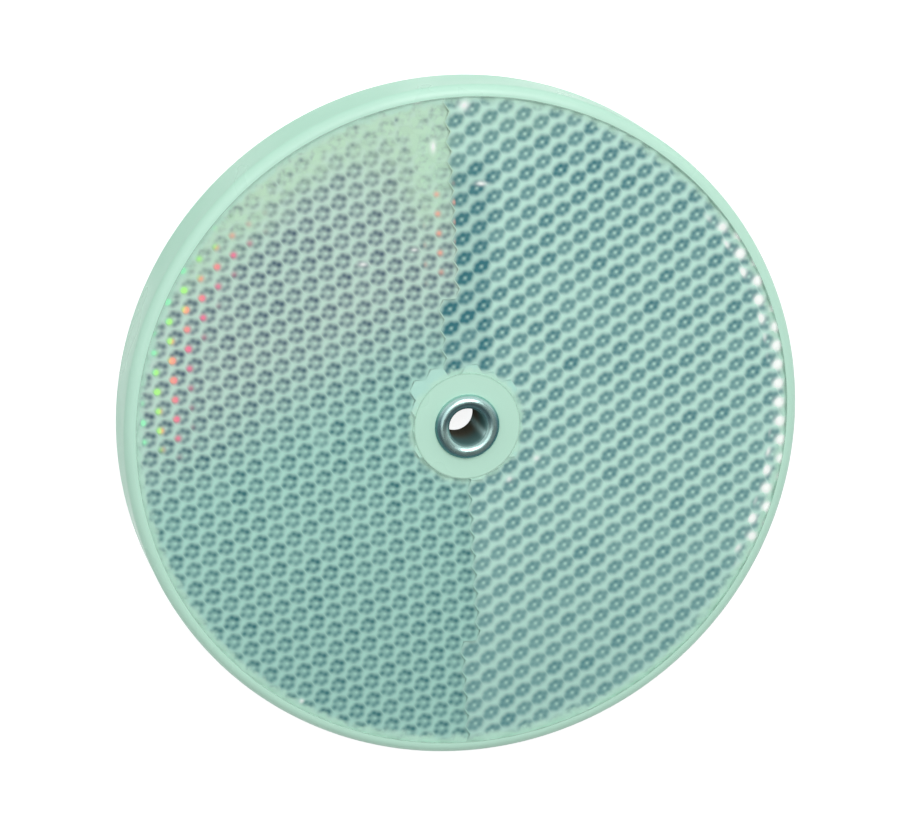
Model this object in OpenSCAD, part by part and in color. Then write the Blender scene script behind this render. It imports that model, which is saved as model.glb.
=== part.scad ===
// Round prism reflector. A clear moulded lens carries rows of corner-cube prisms on the back of
// its front wall. A back plate closes it and keeps air behind the prisms, and a rolled metal
// eyelet lines the hole at the centre and clamps both together. The reflector lies on its back
// at z = 0, its front faces +Z, and the axis of the disc is the Z axis.

/* [Lens] */
// Outside diameter of the lens
lens_d = 84; // [76:1:96]
// Height of the lens, from the back edge of its skirt to its front face
lens_h = 8; // [7.5:0.1:9.5]
// Thickness of the front wall, where it carries no prisms
front_wall = 2.2; // [1.8:0.1:2.6]
// Wall thickness of the skirt at the prisms
skirt_t = 1.6; // [1.5:0.1:2.2]
// Radius of the rounding round the front edge
edge_round = 1.2; // [0.6:0.1:1.6]
// Diameter of the boss round the hole, at its end
boss_d = 13; // [11:0.5:14]
// Draft angle of the moulded walls
draft = 1; // [0.5:0.25:2]

/* [Prisms] */
// Width of one hexagonal prism across its flats
prism_w = 2.415; // [2.2:0.005:3]
// Thickness of the layer between the front wall and the prism valleys
prism_root = 0.15; // [0.1:0.05:0.3]
// Turn of the prism columns away from the Y axis, in degrees
prism_turn = 3.5; // [0:0.5:10]
// Place along X of the joint between the left and the right prisms, above the hole
seam_above_x = -1.7; // [-4:0.1:4]
// Place along X of that joint below the hole
seam_below_x = 0.9; // [-4:0.1:4]
// Width of the slit at that joint
seam_gap = 0.12; // [0.08:0.02:0.2]
// How far prism centres stay outside the boss
boss_margin = 0.3; // [0.2:0.1:2]
// Distance the outermost prism corners stay inside the outside of the lens
rim_margin = 0.3; // [0.2:0.1:1]

/* [Back plate] */
// Thickness of the back plate
plate_t = 1.6; // [1.4:0.1:2]
// Width of the step in the skirt that takes the edge of the back plate
seat_w = 1; // [0.8:0.1:1.2]
// Clearance between the edge of the back plate and the skirt
plate_gap = 0.1; // [0.05:0.05:0.2]
// Diameter of the recess round the rear flare of the eyelet
recess_d = 10; // [9.5:0.5:12]
// Depth of that recess
recess_depth = 0.8; // [0.6:0.1:0.9]

/* [Eyelet] */
// Diameter of the hole through the eyelet
eyelet_bore = 4.5; // [4.2:0.1:5]
// Thickness of the eyelet's sheet metal
eyelet_t = 0.4; // [0.3:0.05:0.5]
// Outside diameter of the rolled front flange
roll_d = 8; // [7.6:0.1:8.4]
// Outside diameter of the rear flare
flare_d = 8.4; // [8:0.1:9]

/* [Hidden] */
$fn = 96;
eps = 0.01;

lens_r = lens_d / 2;
inner_r = lens_r - skirt_t;
seat_r = lens_r - seat_w;
wall_back = lens_h - front_wall;
barrel_r = eyelet_bore / 2 + eyelet_t;
hole_r = barrel_r + 0.05;
roll_r = (roll_d - eyelet_bore) / 4;
plate_r = seat_r - plate_gap;
boss_r = boss_d / 2;
hub_r = recess_d / 2 + plate_t;
hub_top = plate_t + recess_depth;

// A cube seen along its diagonal shows a hexagon, whose width across the flats is the cube's
// edge times the square root of 2. Seen that way the cube's corners lie at levels one third of
// the diagonal apart.
cube_edge = prism_w / sqrt(2);
level_h = cube_edge / sqrt(3);
corner_r = prism_w / sqrt(3);
valley_z = wall_back - prism_root;
embed_z = wall_back + front_wall / 2;

// Prism centres and corners share one grid of half columns and half rows, so that prisms side
// by side meet in the same points.
half_column = corner_r / 2;
half_row = prism_w / 2;
columns = ceil(lens_r / (3 * half_column)) + 1;
rows = ceil(lens_r / prism_w) + 2;
corners = [[2, 0], [1, 1], [-1, 1], [-2, 0], [-1, -1], [1, -1]];
neighbours = [[3, 1], [0, 2], [-3, 1], [-3, -1], [0, -2], [3, -1]];
grid_shift = [0.546, 0.395] * prism_w;
nearest = boss_r + boss_margin;
furthest = lens_r - rim_margin;

function turned(p) = [
    p[0] * cos(prism_turn) - p[1] * sin(prism_turn),
    p[0] * sin(prism_turn) + p[1] * cos(prism_turn)
];
function place(g) = turned([g[0] * half_column, g[1] * half_row] + grid_shift);
function centre(c, r) = [3 * c, 2 * r + abs(c % 2)];
function reach(g) = max([for (k = corners) norm(place(g + k))]);
function kept(g) = reach(g) < furthest && norm(place(g)) > nearest;
function side_of(p) = p[0] < (p[1] > 0 ? seam_above_x : seam_below_x) ? -1 : 1;
function on_side(g, side) = kept(g) && side_of(place(g)) == side;

// The prism array of one side of the joint, -1 for the left and 1 for the right. Each prism has
// three square faces that meet at its apex. Every second corner of its outline is one level
// nearer the apex than the corners between, and the two sides of the joint start with different
// corners, so their prisms are turned half a turn against each other. The outline is repeated
// inside the front wall, and a wall joins both where no prism of the same side adjoins. The
// outermost prisms run into the skirt and the innermost into the boss, and are cut off there.
module prism_field(side) {
    first = side < 0 ? 0 : 1;
    low = valley_z - level_h;
    apex = low - level_h;
    cells = [
        for (c = [-columns : columns], r = [-rows : rows])
            let (g = centre(c, r))
            if (on_side(g, side)) g
    ];
    points = [
        for (g = cells) each [
            for (k = [0 : 5]) [each place(g + corners[k]), (k + first) % 2 == 0 ? low : valley_z],
            for (k = [0 : 5]) [each place(g + corners[k]), embed_z],
            [each place(g), apex]
        ]
    ];
    faces = [
        for (i = [0 : len(cells) - 1])
            let (a = 13 * i)
            each [
                for (k = [first : 2 : 5])
                    [a + 12, a + k, a + (k + 1) % 6, a + (k + 2) % 6],
                [for (k = [0 : 5]) a + 11 - k],
                for (k = [0 : 5])
                    if (!on_side(cells[i] + neighbours[k], side))
                        [a + k, a + 6 + k, a + 6 + (k + 1) % 6, a + (k + 1) % 6]
            ]
    ];
    translate([side * seam_gap / 2, 0, 0]) polyhedron(points, faces, convexity = 8);
}

// Section of the lens without its prisms: front wall, skirt with the step for the back plate,
// and the boss, whose end stands on the hub of the back plate.
module lens_section() {
    slope = tan(draft);
    difference() {
        union() {
            square([lens_r - edge_round, lens_h]);
            square([lens_r, lens_h - edge_round]);
            translate([lens_r - edge_round, lens_h - edge_round]) circle(edge_round);
        }
        square([hole_r, 3 * lens_h], center = true);
        square([hole_r, lens_h + eps]);
        translate([0, -eps]) square([seat_r, plate_t + eps]);
        translate([0, -eps]) square([boss_r + plate_t, hub_top + eps]);
        polygon([
            [boss_r, plate_t - eps],
            [boss_r, hub_top],
            [boss_r + slope * (wall_back - hub_top), wall_back],
            [inner_r, wall_back],
            [inner_r + slope * (wall_back - plate_t), plate_t],
            [inner_r + slope * (wall_back - plate_t), plate_t - eps]
        ]);
    }
}

module lens() {
    color([0.7, 0.88, 0.8, 0.6]) union() {
        rotate_extrude() lens_section();
        prism_field(-1);
        prism_field(1);
    }
}

// The plate keeps one thickness all over: where its back is recessed for the flare of the
// eyelet, its hub stands up inside by as much.
module back_plate() {
    chamfer = 0.3;
    color([0.62, 0.78, 0.72]) rotate_extrude() difference() {
        union() {
            translate([0, chamfer]) square([plate_r, plate_t - chamfer]);
            square([plate_r - chamfer, plate_t]);
            polygon([
                [plate_r - chamfer, 0], [plate_r, chamfer], [plate_r - chamfer, chamfer]
            ]);
            square([hub_r, hub_top]);
        }
        translate([0, -eps]) square([hole_r, hub_top + 2 * eps]);
        translate([0, -eps]) square([recess_d / 2, recess_depth + eps]);
    }
}

// Section of the eyelet: a straight barrel, a front edge rolled outwards until it lands on the
// lens, and a rear edge flared flat against the back plate.
module eyelet_section() {
    bore_r = eyelet_bore / 2;
    difference() {
        union() {
            translate([bore_r, recess_depth]) square([eyelet_t, lens_h - recess_depth]);
            translate([bore_r + roll_r, lens_h]) intersection() {
                circle(roll_r);
                translate([-roll_r, 0]) square(2 * roll_r);
            }
            translate([barrel_r, recess_depth]) intersection() {
                circle(eyelet_t);
                translate([-eyelet_t, -eyelet_t]) square(eyelet_t);
            }
            translate([barrel_r, recess_depth - eyelet_t])
                square([flare_d / 2 - barrel_r, eyelet_t]);
        }
        translate([bore_r + roll_r, lens_h]) circle(roll_r - eyelet_t);
    }
}

module eyelet() {
    color("silver") rotate_extrude() eyelet_section();
}

lens();
back_plate();
eyelet();
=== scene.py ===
"""Looks of the round prism reflector: a clear lens over prisms, a back plate and a rolled eyelet.

All lengths are in metres unless a comment says otherwise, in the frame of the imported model: the
back lies on z = 0 and the front faces +Z.
"""
import logging
import math
from dataclasses import dataclass, field
from enum import Enum, IntEnum
from typing import Callable, ClassVar, Sequence

import bmesh
import bpy
import numpy as np
from mathutils import Matrix, Vector
from mathutils.geometry import delaunay_2d_cdt


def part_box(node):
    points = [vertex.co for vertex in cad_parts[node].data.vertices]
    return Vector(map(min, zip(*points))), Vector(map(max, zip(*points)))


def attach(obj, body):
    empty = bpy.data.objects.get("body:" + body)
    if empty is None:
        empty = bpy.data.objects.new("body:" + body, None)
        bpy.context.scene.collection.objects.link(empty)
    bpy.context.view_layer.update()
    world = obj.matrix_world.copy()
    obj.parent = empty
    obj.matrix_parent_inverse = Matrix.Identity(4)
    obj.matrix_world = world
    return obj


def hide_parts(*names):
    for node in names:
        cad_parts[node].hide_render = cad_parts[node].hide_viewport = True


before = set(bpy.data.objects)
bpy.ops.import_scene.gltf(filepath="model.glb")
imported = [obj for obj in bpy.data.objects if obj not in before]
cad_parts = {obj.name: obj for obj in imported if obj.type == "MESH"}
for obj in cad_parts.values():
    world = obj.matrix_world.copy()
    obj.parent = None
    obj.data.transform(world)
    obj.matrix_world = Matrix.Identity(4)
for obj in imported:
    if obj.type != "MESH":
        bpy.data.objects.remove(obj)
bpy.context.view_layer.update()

LOG = logging.getLogger("reflector")
Triple = tuple[float, float, float]
Colour = Triple
Place = tuple[float, float]
Span = tuple[float, float]  # low and high of Signal.step, or start and end of a remap
Scale = tuple[float, float]  # slope and shift of Signal.scaled
Waves = tuple[float, float]  # scale and detail of Graph.noise
Pair = tuple[np.ndarray, np.ndarray]
MM = 1e-3
IN_MM = 1000.0  # millimetres in a metre
NOISE_BODY: Span = (0.3, 0.7)  # where most values of a noise lie
OFF_PRISMS = 9.0  # place in a prism, in prism widths, of what is on none
EXACT = 1e-9  # more than rounding adds to a length
LEVEL = 1e-7  # heights nearer than this count as one
TOUCH = 1e-3 * MM  # places nearer than this count as one
BAKE_MAP = "OFBake"
CELL_MAP = "cell"


class Side(Enum):
    """The two halves of the prism field, on either side of its joint."""

    LEFT = -1
    RIGHT = 1


class Slot(IntEnum):
    """The lens's material slots."""

    SKIN = 0
    PRISMS = 1


def linear(red: int, green: int, blue: int) -> Colour:
    """Turns a colour given in 0 to 255 steps into linear light.

    Each channel c becomes c / 12.92 below 0.04045 and ((c + 0.055) / 1.055) ** 2.4 above it.

    Args:
        red: Red as it shows on a screen.
        green: Green as it shows on a screen.
        blue: Blue as it shows on a screen.

    Returns:
        The three linear values.
    """
    c = np.array([red, green, blue]) / 255
    return tuple(np.where(c > 0.04045, ((c + 0.055) / 1.055) ** 2.4, c / 12.92).tolist())


class Signal:
    """A number that varies over a surface. Arithmetic written on it becomes Math nodes."""

    def __init__(self, graph: "Graph", socket: bpy.types.NodeSocket) -> None:
        """Holds the socket that gives the number."""
        self.graph = graph
        self.socket = socket

    def _with(self, operation: str, *others: "Signal | float", swap: bool = False) -> "Signal":
        """Joins this number with others by one Math node."""
        values = [self, *others]
        return self.graph.maths(operation, *(reversed(values) if swap else values))

    def __add__(self, other: "Signal | float") -> "Signal":
        """This plus other."""
        return self._with("ADD", other)

    __radd__ = __add__

    def __mul__(self, other: "Signal | float") -> "Signal":
        """This times other."""
        return self._with("MULTIPLY", other)

    __rmul__ = __mul__

    def __sub__(self, other: "Signal | float") -> "Signal":
        """This minus other."""
        return self._with("SUBTRACT", other)

    def __rsub__(self, other: float) -> "Signal":
        """Other minus this."""
        return self._with("SUBTRACT", other, swap=True)

    def __truediv__(self, other: "Signal | float") -> "Signal":
        """This over other."""
        return self._with("DIVIDE", other)

    def power(self, exponent: float) -> "Signal":
        """This to the power of exponent."""
        return self._with("POWER", exponent)

    def root(self) -> "Signal":
        """The square root of this."""
        return self._with("SQRT")

    def exp(self) -> "Signal":
        """The number e to the power of this."""
        return self._with("EXPONENT")

    def bell(self, centre: float, width: float) -> "Signal":
        """A bump: e to the power of minus the square of the distance from centre over width."""
        away = (self - centre) / width
        return (away * away * -1).exp()

    def step(self, low: float, high: float) -> "Signal":
        """Rises smoothly from 0 at low to 1 at high, or falls where low is the greater."""
        return self.graph.remap(self, low, high, 0.0, 1.0)

    def steps(self, *spans: Span) -> "Signal":
        """Multiplies the steps over several spans, such as both ends of a stretch.

        Args:
            spans: The spans, each as in step.

        Returns:
            The product.
        """
        made = self.step(*spans[0])
        for span in spans[1:]:
            made = made * self.step(*span)
        return made

    def scaled(self, slope: float, shift: float) -> "Signal":
        """This times slope, plus shift."""
        return self * slope + shift


class Graph:
    """A node tree that is built by calls that read as formulas."""

    def __init__(self, tree: bpy.types.NodeTree) -> None:
        """Empties the tree and keeps it."""
        tree.nodes.clear()
        self.tree = tree

    def node(self, kind: str, **settings: object) -> bpy.types.Node:
        """Adds a node.

        Args:
            kind: Its type.
            settings: Its properties, by name.

        Returns:
            The node.
        """
        made = self.tree.nodes.new(kind)
        for name, value in settings.items():
            setattr(made, name, value)
        return made

    def feed(self, socket: bpy.types.NodeSocket, value: object) -> None:
        """Links a signal or a socket to an input, or writes a plain value on it.

        Args:
            socket: The input.
            value: What it gets.
        """
        if isinstance(value, Signal):
            value = value.socket
        if isinstance(value, bpy.types.NodeSocket):
            self.tree.links.new(value, socket)
        elif isinstance(value, tuple) and socket.type == "RGBA":
            socket.default_value = (*value, 1.0)
        else:
            socket.default_value = value

    def maths(self, operation: str, *values: "Signal | float") -> Signal:
        """Adds one Math node.

        Args:
            operation: What it does.
            values: What it does it to.

        Returns:
            Its result.
        """
        made = self.node("ShaderNodeMath", operation=operation)
        for socket, value in zip(made.inputs, values):
            self.feed(socket, value)
        return Signal(self, made.outputs[0])

    def remap(self, value: Signal, low: float, high: float, start: float, end: float) -> Signal:
        """Carries a value from one span to another along a smooth S curve, held at both ends.

        Args:
            value: The value.
            low: Where the first span starts.
            high: Where it ends.
            start: Where the second span starts.
            end: Where it ends.

        Returns:
            The carried value.
        """
        made = self.node("ShaderNodeMapRange", interpolation_type="SMOOTHSTEP")
        for socket, given in zip(made.inputs, (value, low, high, start, end)):
            self.feed(socket, given)
        return Signal(self, made.outputs["Result"])

    def place(self) -> tuple[Signal, Signal, Signal]:
        """Reads the point's own place on the piece.

        Returns:
            Its x, y and z.
        """
        split = self.node("ShaderNodeSeparateXYZ")
        self.feed(split.inputs[0], self.node("ShaderNodeTexCoord").outputs["Object"])
        return tuple(Signal(self, s) for s in split.outputs)

    def vector(self, operation: str, *values: object) -> bpy.types.Node:
        """Adds one Vector Math node.

        Args:
            operation: What it does.
            values: What it does it to.

        Returns:
            The node.
        """
        made = self.node("ShaderNodeVectorMath", operation=operation)
        for socket, value in zip(made.inputs, values):
            self.feed(socket, value)
        return made

    def noise(self, scale: float, detail: float, stretch: Triple = (1, 1, 1)) -> Signal:
        """Adds soft noise on Object coordinates.

        Args:
            scale: Waves a metre.
            detail: How many finer waves lie on them.
            stretch: Factor on the waves along each axis.

        Returns:
            The noise, from 0 to 1.
        """
        mapped = self.node("ShaderNodeMapping")
        self.feed(mapped.inputs["Vector"], self.node("ShaderNodeTexCoord").outputs["Object"])
        mapped.inputs["Scale"].default_value = stretch
        made = self.node("ShaderNodeTexNoise")
        self.feed(made.inputs["Vector"], mapped.outputs[0])
        made.inputs["Scale"].default_value = scale
        made.inputs["Detail"].default_value = detail
        return Signal(self, made.outputs["Fac"])

    def attribute(self, name: str) -> bpy.types.Node:
        """The node that reads the mesh's own attribute of that name."""
        return self.node("ShaderNodeAttribute", attribute_name=name)

    def blend(self, share: "Signal | float", one: object, other: object) -> bpy.types.NodeSocket:
        """Blends two colours.

        Args:
            share: 0 for the first and 1 for the second.
            one: The first colour.
            other: The second colour.

        Returns:
            The blended colour.
        """
        made = self.node("ShaderNodeMix", data_type="RGBA", clamp_factor=True)
        self.feed(made.inputs["Factor"], share)
        for name, value in (("A", one), ("B", other)):
            socket = next(s for s in made.inputs if s.name == name and s.type == "RGBA")
            self.feed(socket, value)
        return next(s for s in made.outputs if s.type == "RGBA")

    def bump(self, height: Signal, strength: float, distance: float) -> bpy.types.NodeSocket:
        """Turns a height into a normal.

        Args:
            height: The height, from 0 to 1.
            strength: Share of the effect.
            distance: Metres that a height of 1 stands for.

        Returns:
            The normal.
        """
        made = self.node("ShaderNodeBump")
        made.inputs["Strength"].default_value = strength
        made.inputs["Distance"].default_value = distance
        self.feed(made.inputs["Height"], height)
        return made.outputs[0]

    def principled(self, **inputs: object) -> bpy.types.Node:
        """Adds a Principled shader.

        Args:
            inputs: Its inputs by name, with underscores for spaces.

        Returns:
            The shader.
        """
        made = self.node("ShaderNodeBsdfPrincipled")
        for name, value in inputs.items():
            self.feed(made.inputs[name.replace("_", " ")], value)
        return made

    def finish(self, surface: bpy.types.NodeSocket) -> None:
        """Ends the tree in a material output."""
        out = self.node("ShaderNodeOutputMaterial")
        self.tree.links.new(surface, out.inputs["Surface"])


def material(name: str, build: Callable[[Graph], None]) -> bpy.types.Material:
    """Makes a node material.

    Args:
        name: Its name.
        build: Draws its tree.

    Returns:
        The material.
    """
    made = bpy.data.materials.new(name)
    made.use_nodes = True
    build(Graph(made.node_tree))
    return made


@dataclass(frozen=True)
class Spot:
    """A soft round or oval spot: its place, its strength and its widths."""

    x: float
    y: float
    strength: float
    wide: float
    high: float | None = None

    def shade(
        self, g: Graph, place: bpy.types.NodeSocket, before: Signal | float = 0.0
    ) -> Signal:
        """Adds the spot to a sum.

        It is strength times a bell: e to the power of minus the squared distance of the place
        from the spot's middle, with each axis divided by its width.

        Args:
            g: The graph.
            place: Where the spot is looked up.
            before: The sum so far.

        Returns:
            The sum with the spot.
        """
        wide, high = self.wide, self.high or self.wide
        scale, shift = (1 / wide, 1 / high, 0), (-self.x / wide, -self.y / high, 0)
        away = g.vector("MULTIPLY_ADD", place, scale, shift).outputs["Vector"]
        square = g.vector("DOT_PRODUCT", away, away).outputs["Value"]
        bell = g.maths("POWER", 1 / math.e, Signal(g, square))
        return g.maths("MULTIPLY_ADD", bell, self.strength, before)


def total(g: Graph, spots: Sequence[Spot], place: bpy.types.NodeSocket) -> Signal:
    """Adds up several spots.

    Args:
        g: The graph.
        spots: The spots.
        place: Where they are looked up.

    Returns:
        Their sum.
    """
    summed = 0.0
    for spot in spots:
        summed = spot.shade(g, place, summed)
    return summed


@dataclass(frozen=True)
class Tones:
    """The pale net between prisms and the dark of their petals, in one part of the lens."""

    # Both are painted reflection: the net painted light, the dark the prisms' painted dark
    # reflection.
    net: Colour
    dark: Colour


@dataclass(frozen=True)
class PrismFinish:
    """The prisms as they show through the front: a pale net, and six dark petals round a dot.

    The net and petals are painted reflection: the petals dark where the prisms throw back dark
    surroundings, the net pale with light thrown back from elsewhere, and a paler painted dot at
    each apex. Places in a prism are in prism widths, and places on the disc in millimetres. Drift
    and grain are noises: waves a metre, and how many finer waves lie on them.
    """

    # Painted reflection: dark petals of each half as spots in a prism; the last spot pales the
    # apex.
    left: tuple[Spot, ...] = (
        Spot(0.21, 0.19, 0.62, 0.172),
        Spot(-0.07, 0.30, 0.54, 0.155),
        Spot(-0.29, 0.16, 0.42, 0.130),
        Spot(-0.33, -0.17, 0.58, 0.156),
        Spot(-0.01, -0.30, 0.44, 0.150),
        Spot(0.20, -0.17, 0.44, 0.140),
        Spot(-0.02, -0.02, 0.22, 0.34),
        Spot(0.0, 0.0, -0.16, 0.09),
    )
    right: tuple[Spot, ...] = (
        Spot(0.285, 0.225, 0.46, 0.180),
        Spot(-0.03, 0.245, 0.39, 0.168),
        Spot(-0.27, 0.08, 0.34, 0.155),
        Spot(-0.345, -0.200, 0.46, 0.183),
        Spot(-0.05, -0.25, 0.34, 0.168),
        Spot(0.20, -0.05, 0.36, 0.155),
        Spot(-0.03, 0.0, 0.33, 0.33),
        Spot(-0.02, 0.02, -0.27, 0.095),
    )
    # Colours of the painted reflection: net and dark in the left, upper and right parts.
    left_tones: Tones = Tones((0.500, 0.845, 0.735), (0.030, 0.185, 0.205))
    upper_tones: Tones = Tones((0.640, 0.870, 0.755), (0.070, 0.130, 0.190))
    right_tones: Tones = Tones((0.650, 0.975, 0.850), (0.020, 0.185, 0.225))
    # Painted glare: a pale wash over the prisms in two tints, near the top and the upper left rim.
    glare_colour: Colour = (0.540, 0.870, 0.670)
    glare_warm: Colour = (0.620, 0.840, 0.600)
    land: Colour = (0.572, 0.882, 0.730)
    glare: tuple[Spot, ...] = (
        Spot(-9.0, 38.5, 0.86, 10.0, 7.0),
        Spot(-4.2, 31.0, 0.70, 3.2, 7.0),
        Spot(7.5, 38.0, 0.60, 5.0, 3.0),
    )
    # Painted highlights: white glints over the prisms.
    glints: tuple[Spot, ...] = (
        Spot(-6.0, 40.2, 0.8, 0.5, 0.35),
        Spot(-0.3, 39.5, 0.9, 0.6, 0.6),
        Spot(-4.1, 34.6, 0.9, 0.35, 0.7),
        Spot(1.8, 29.9, 0.9, 0.6, 0.28),
        Spot(-6.4, 22.1, 0.7, 0.4, 0.25),
        Spot(-12.7, 20.6, 0.8, 0.5, 0.3),
        Spot(5.4, -7.1, 0.7, 0.4),
        Spot(8.8, -4.6, 0.7, 0.4),
        Spot(-20.7, -33.9, 0.7, 0.3),
    )
    depth: float = 1.28
    relief_kept: float = 0.08
    drift: Waves = (90, 2)
    grain: Waves = (760, 2)
    # Strength of the painted reflection up the right half.
    fading: Span = (-28, 30)
    faded: Scale = (0.14, 0.96)
    # A painted darker strip of reflection right of the joint.
    strip_across: Span = (3.6, 2.2)
    strip_up: tuple[Span, Span] = ((4, 7), (34, 31))
    strip_shade: float = 0.13
    # Where the painted reflection takes its upper tones.
    uphill: Place = (-0.4, 0.917)
    upper: Span = (4, 22)
    upper_drift: Scale = (0.5, 0.75)
    rim_glare: tuple[Span, Span] = ((32.5, 39.5), (13, 27))
    rim_share: float = 0.84
    mottle: Scale = (2.4, -0.32)
    glare_sides: Scale = (0.7, 0.3)
    plain: tuple[Span, Span] = ((39.4, 40.4), (7.5, 6.7))
    plain_share: float = 0.92
    ragged: float = 1.8
    # Painted shade: the prisms darker towards the bottom, more on the right half.
    low: Span = (-2, -38)
    bottom_shade_sides: Scale = (0.06, 0.13)
    bottom_shade_colour: Colour = (0.05, 0.25, 0.25)
    roughness: float = 0.45
    # Strength of the painted glow of the glints, bow and flashes.
    own_light: float = 0.15
    # Painted coloured glints on the left: a rainbow bow, one bell in each prism.
    bow: Spot = Spot(-0.28, -0.12, 1.7, 0.155)
    bow_side: Span = (-22, -26)
    bow_prisms: Scale = (3.0, -2.05)
    bow_radius: tuple[Span, Span] = ((33, 36), (40.2, 39.4))
    bow_height: tuple[Span, Span] = ((-3, 2), (29, 17))
    bow_lean: float = 0.045
    bow_start: Colour = (0.93, 0.20, 0.34)
    bow_turns: tuple[tuple[Span, Colour], ...] = (
        ((35.0, 37.2), (1.0, 0.42, 0.26)),
        ((36.9, 37.9), (0.45, 1.0, 0.26)),
        ((38.4, 39.2), (0.34, 0.95, 0.55)),
    )
    # Painted orange glints in the prisms beside the joint.
    dot: Spot = Spot(-0.30, -0.10, 0.8, 0.14)
    dot_across: tuple[Span, Span] = ((-5.5, -4.5), (-1.2, -1.6))
    dot_up: tuple[Span, Span] = ((17, 21), (31, 28))
    dot_side: Span = (-6, -5.5)
    dot_colour: Colour = (1.0, 0.42, 0.30)
    # Painted white highlights where the outermost prisms on the right meet, and their colour.
    flashes: tuple[Spot, ...] = (Spot(0.44, -0.22, 1.7, 0.24), Spot(-0.44, 0.22, 1.7, 0.24))
    flash_across: Span = (27, 31)
    flash_radius: Span = (38.4, 39.0)
    flash_up: tuple[Span, Span] = ((-21, -14), (27, 21))
    white: Colour = (0.97, 1.0, 0.97)
    white_side: Span = (10, 20)
    white_glint: Span = (0.01, 0.06)

    def build(self, g: Graph) -> None:
        """Draws the finish: petals carry net to dark, painted glare lies over both, and glints on
        top.

        Args:
            g: The graph.
        """
        cell = g.node("ShaderNodeUVMap", uv_map=CELL_MAP).outputs[0]
        x, y, _ = (place * IN_MM for place in g.place())
        joined = g.node("ShaderNodeCombineXYZ")
        g.feed(joined.inputs[0], x)
        g.feed(joined.inputs[1], y)
        place = joined.outputs[0]
        half = Signal(g, g.attribute("half").outputs["Fac"])
        tone = Signal(g, g.attribute("tone").outputs["Fac"])
        radius = (x * x + y * y).root()
        other = 1 - half
        rise = x * self.uphill[0] + y * self.uphill[1]
        drift = g.noise(*self.drift)

        # Painted reflection: petals carry the pale net to the dark, stronger or weaker by place.
        strength = y.step(*self.fading).scaled(*self.faded) * half + other
        petals = total(g, self.left, cell) * other + total(g, self.right, cell) * half
        strip = half * x.step(*self.strip_across) * y.steps(*self.strip_up) * self.strip_shade
        shade = (petals * tone * strength + strip) * self.depth

        upper = rise.step(*self.upper) * other * drift.scaled(*self.upper_drift)
        net = g.blend(half, self.left_tones.net, self.right_tones.net)
        net = g.blend(upper, net, self.upper_tones.net)
        dark = g.blend(half, self.left_tones.dark, self.right_tones.dark)
        dark = g.blend(upper, dark, self.upper_tones.dark)
        base = g.blend(shade, net, dark)
        # Painted glare over the pattern, in patches and along the upper left rim, mottled by grain.
        out, up = self.rim_glare
        rim = radius.step(*out) * y.step(*up) * other * self.rim_share
        grain = g.noise(*self.grain)
        glare = total(g, self.glare, place) * other.scaled(*self.glare_sides)
        glare = g.maths("MAXIMUM", glare, rim) * grain.scaled(*self.mottle)
        base = g.blend(glare, base, g.blend(drift, self.glare_colour, self.glare_warm))
        ragged = radius + (grain - 0.5) * self.ragged
        plain = g.maths("MAXIMUM", *(ragged.step(*span) for span in self.plain))
        # Painted shade: darker towards the bottom, more on the right half.
        low = y.step(*self.low) * half.scaled(*self.bottom_shade_sides)
        base = g.blend(low, base, self.bottom_shade_colour)
        base = g.blend(plain * self.plain_share, base, self.land)

        # Painted highlights and coloured glints, blended into the colour and made to glow.
        glow, colour = self.sparks(g, cell, place, x, y, radius, tone)
        base = g.blend(glow, base, colour)
        shader = g.principled(
            Base_Color=base,
            Roughness=self.roughness,
            Normal=self.softened(g),
            Emission_Color=colour,
            Emission_Strength=glow * self.own_light,
        )
        g.finish(shader.outputs[0])

    def sparks(
        self,
        g: Graph,
        cell: bpy.types.NodeSocket,
        place: bpy.types.NodeSocket,
        x: Signal,
        y: Signal,
        radius: Signal,
        tone: Signal,
    ) -> tuple[Signal, bpy.types.NodeSocket]:
        """Strength and colour of the light that single prisms throw back.

        All of it is painted light. On the left a bow runs from pink at its inside to green at its
        outside, as one bell in each prism. On the right the outermost prisms flash white where
        their flats meet. Orange dots lie beside the joint, and white glints over the disc.

        Args:
            g: The graph.
            cell: Place in the prism.
            place: Place on the disc.
            x: Place across on the disc.
            y: Place up on the disc.
            radius: Distance from the axis.
            tone: Each prism's own strength.

        Returns:
            The strength and the colour.
        """
        near = radius - y * self.bow_lean
        bow = self.bow.shade(g, cell) * x.step(*self.bow_side) * tone.scaled(*self.bow_prisms)
        bow = bow * near.steps(*self.bow_radius) * y.steps(*self.bow_height)
        dots = self.dot.shade(g, cell) * x.steps(*self.dot_across) * y.steps(*self.dot_up)
        flash = total(g, self.flashes, cell) * x.step(*self.flash_across)
        flash = flash * radius.step(*self.flash_radius) * y.steps(*self.flash_up)
        glints = total(g, self.glints, place)
        white = g.maths("MAXIMUM", flash, glints)
        pale = g.maths("MAXIMUM", x.step(*self.white_side), glints.step(*self.white_glint))
        colour = self.bow_start
        for span, following in self.bow_turns:
            colour = g.blend(near.step(*span), colour, following)
        colour = g.blend(x.step(*self.dot_side), colour, self.dot_colour)
        colour = g.blend(pale, colour, self.white)
        return g.maths("MAXIMUM", g.maths("MAXIMUM", bow, dots), white), colour

    def softened(self, g: Graph) -> bpy.types.NodeSocket:
        """Turns the surface's normal most of the way to straight up.

        Args:
            g: The graph.

        Returns:
            The turned normal.
        """
        normal = g.node("ShaderNodeMix", data_type="VECTOR")
        normal.inputs[0].default_value = self.relief_kept
        *_, one, other = (s for s in normal.inputs if s.type == "VECTOR")
        one.default_value = (0, 0, 1)
        g.feed(other, g.node("ShaderNodeNewGeometry").outputs["Normal"])
        unit = g.node("ShaderNodeVectorMath", operation="NORMALIZE")
        g.feed(unit.inputs[0], next(s for s in normal.outputs if s.type == "VECTOR"))
        return unit.outputs[0]


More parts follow.
